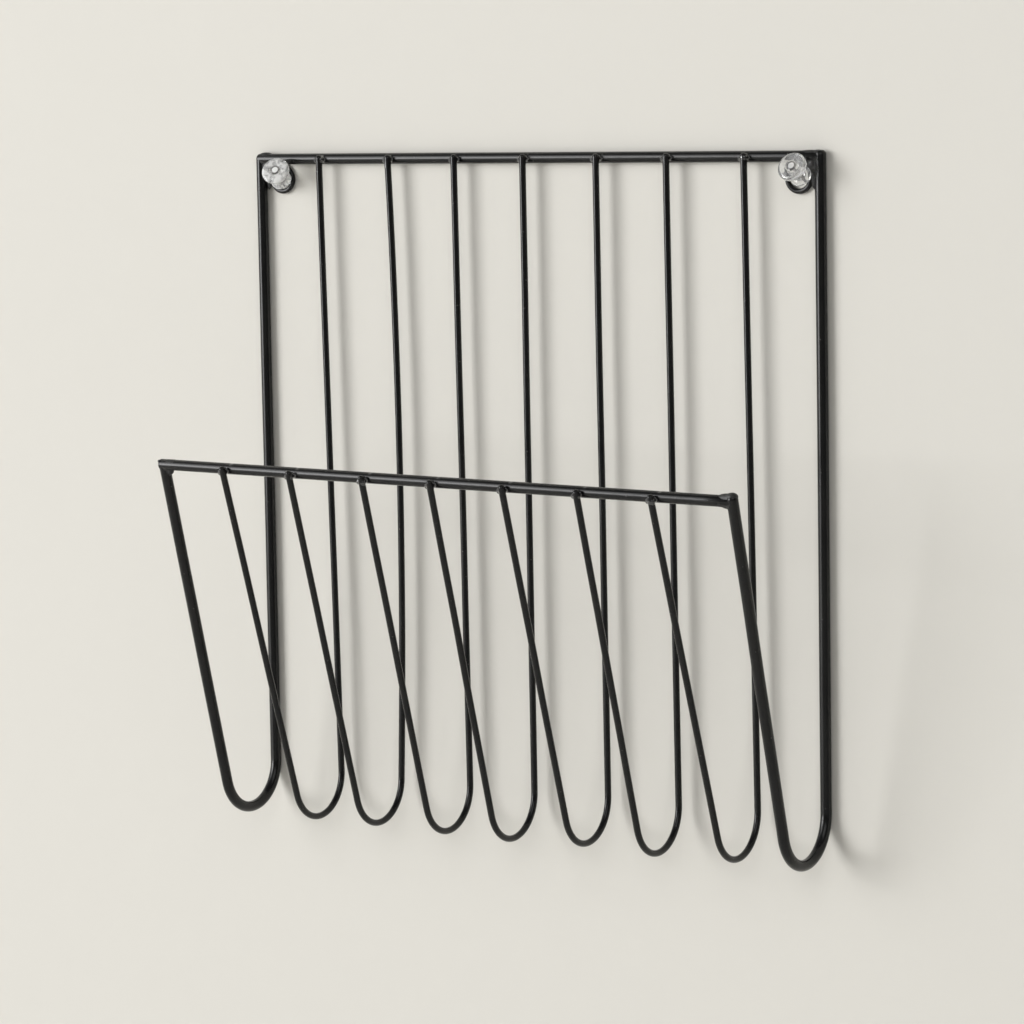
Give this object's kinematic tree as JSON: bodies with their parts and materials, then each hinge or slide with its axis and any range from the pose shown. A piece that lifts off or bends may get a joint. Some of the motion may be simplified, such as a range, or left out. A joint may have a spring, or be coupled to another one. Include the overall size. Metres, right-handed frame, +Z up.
{
  "type": "wall mail organizer",
  "caption": "Wall rack for mail and papers: bent steel rods and wires form a tapered front pocket, hung by wire eyes from clear push pins.",
  "frame": {"origin": "on the wall plane, at the back of the top rail, halfway between the side rods and at the height of the rail's centre line", "axes": "+X to the right as the viewer faces the wall, +Y into the wall, +Z up; the rack is on the -Y side of the wall plane and hangs down along -Z"},
  "size_m": [0.3026, 0.0942, 0.3099],
  "materials": {
    "black_paint": "satin black powder coat on steel rod and wire",
    "clear_plastic": "clear moulded plastic, glossy",
    "pin_steel": "bright drawn steel needle"
  },
  "bodies": {
    "rack": {"back_top_rail": "black_paint", "front_rail": "black_paint", "left_side_rod": "black_paint", "right_side_rod": "black_paint", "wire_1": "black_paint", "wire_2": "black_paint", "wire_3": "black_paint", "wire_4": "black_paint", "wire_5": "black_paint", "wire_6": "black_paint", "wire_7": "black_paint", "left_hanging_eye": "black_paint", "right_hanging_eye": "black_paint"},
    "left_pin": {"left_pin_head": "clear_plastic", "left_pin_needle": "pin_steel"},
    "right_pin": {"right_pin_head": "clear_plastic", "right_pin_needle": "pin_steel"}
  },
  "joints": [
    {"name": "left_pin_pull", "type": "slide", "parent": "rack", "child": "left_pin", "axis": [0.2703, -0.8318, 0.4848], "range_m": [0, 0.03]},
    {"name": "right_pin_pull", "type": "slide", "parent": "rack", "child": "right_pin", "axis": [0.0153, -0.8787, 0.4772], "range_m": [0, 0.03]}
  ]
}
